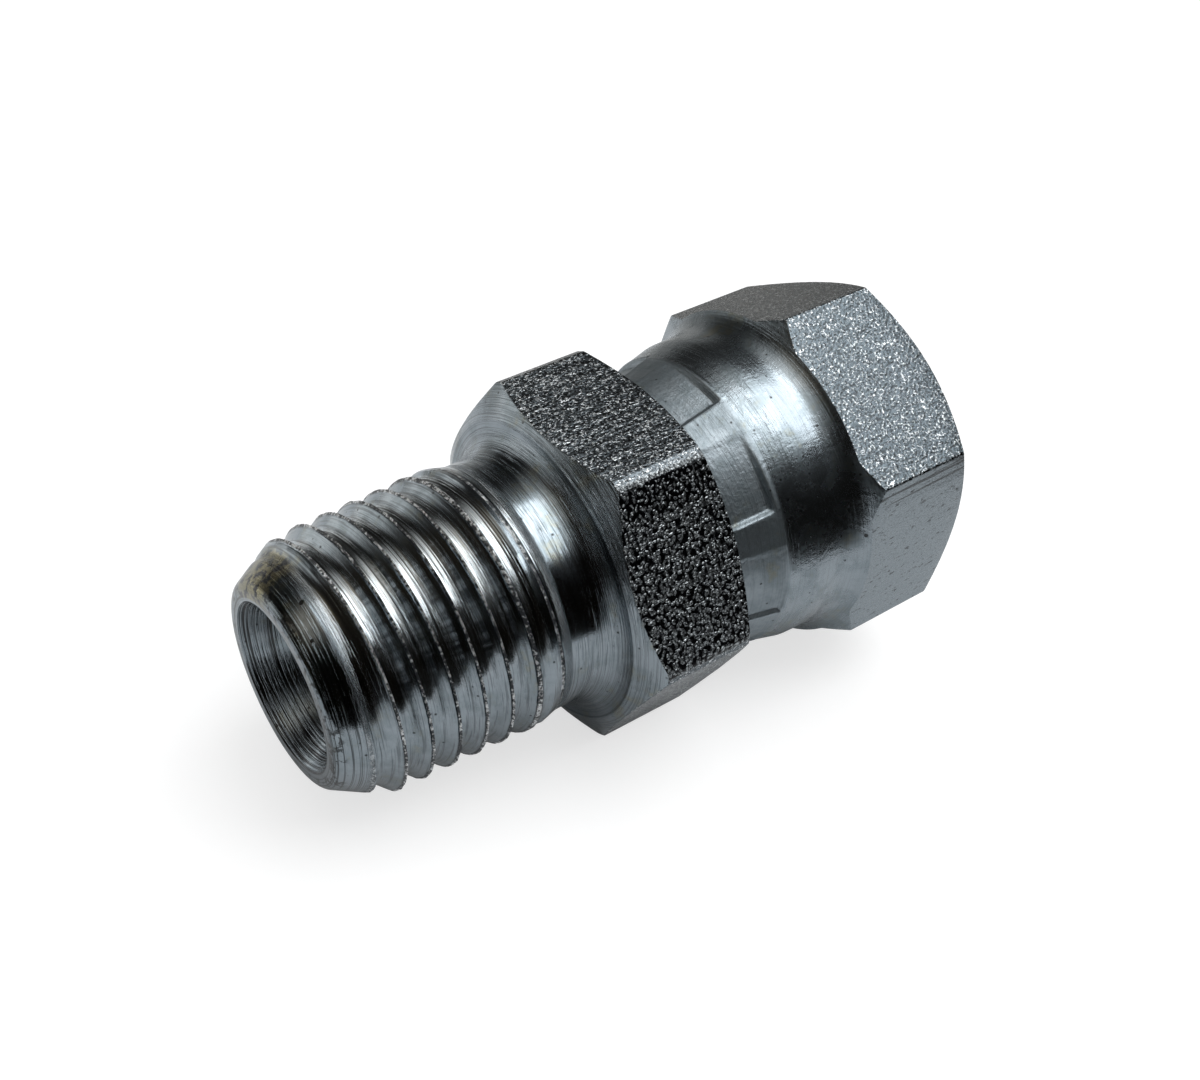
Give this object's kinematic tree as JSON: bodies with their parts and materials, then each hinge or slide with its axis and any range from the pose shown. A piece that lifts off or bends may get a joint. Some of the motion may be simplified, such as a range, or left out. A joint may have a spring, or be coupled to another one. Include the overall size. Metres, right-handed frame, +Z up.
{
  "type": "swivel pipe fitting",
  "caption": "Straight pipe adapter: a hexagon body with a male taper thread, and a crimped-on nut with a female thread that swivels freely about the axis.",
  "frame": {"origin": "on the fitting's axis, in the plane of the nose face at the end of the male thread", "axes": "+X along the axis from the nose to the open end of the nut; +Z up, square to one flat of the body hexagon, which faces down at -Z"},
  "size_m": [0.0359, 0.0196, 0.02],
  "materials": {
    "zinc_plate": "turned steel with a bright, slightly blue zinc plating, glossy on the turned surfaces and grainy on the bar's flats"
  },
  "bodies": {
    "body": {"body": "zinc_plate"},
    "nut": {"swivel_nut": "zinc_plate"}
  },
  "joints": [
    {"name": "nut_swivel", "type": "hinge", "parent": "body", "child": "nut", "pos_m": [0.0285, 0, 0], "axis": [1, 0, 0], "continuous": true}
  ]
}
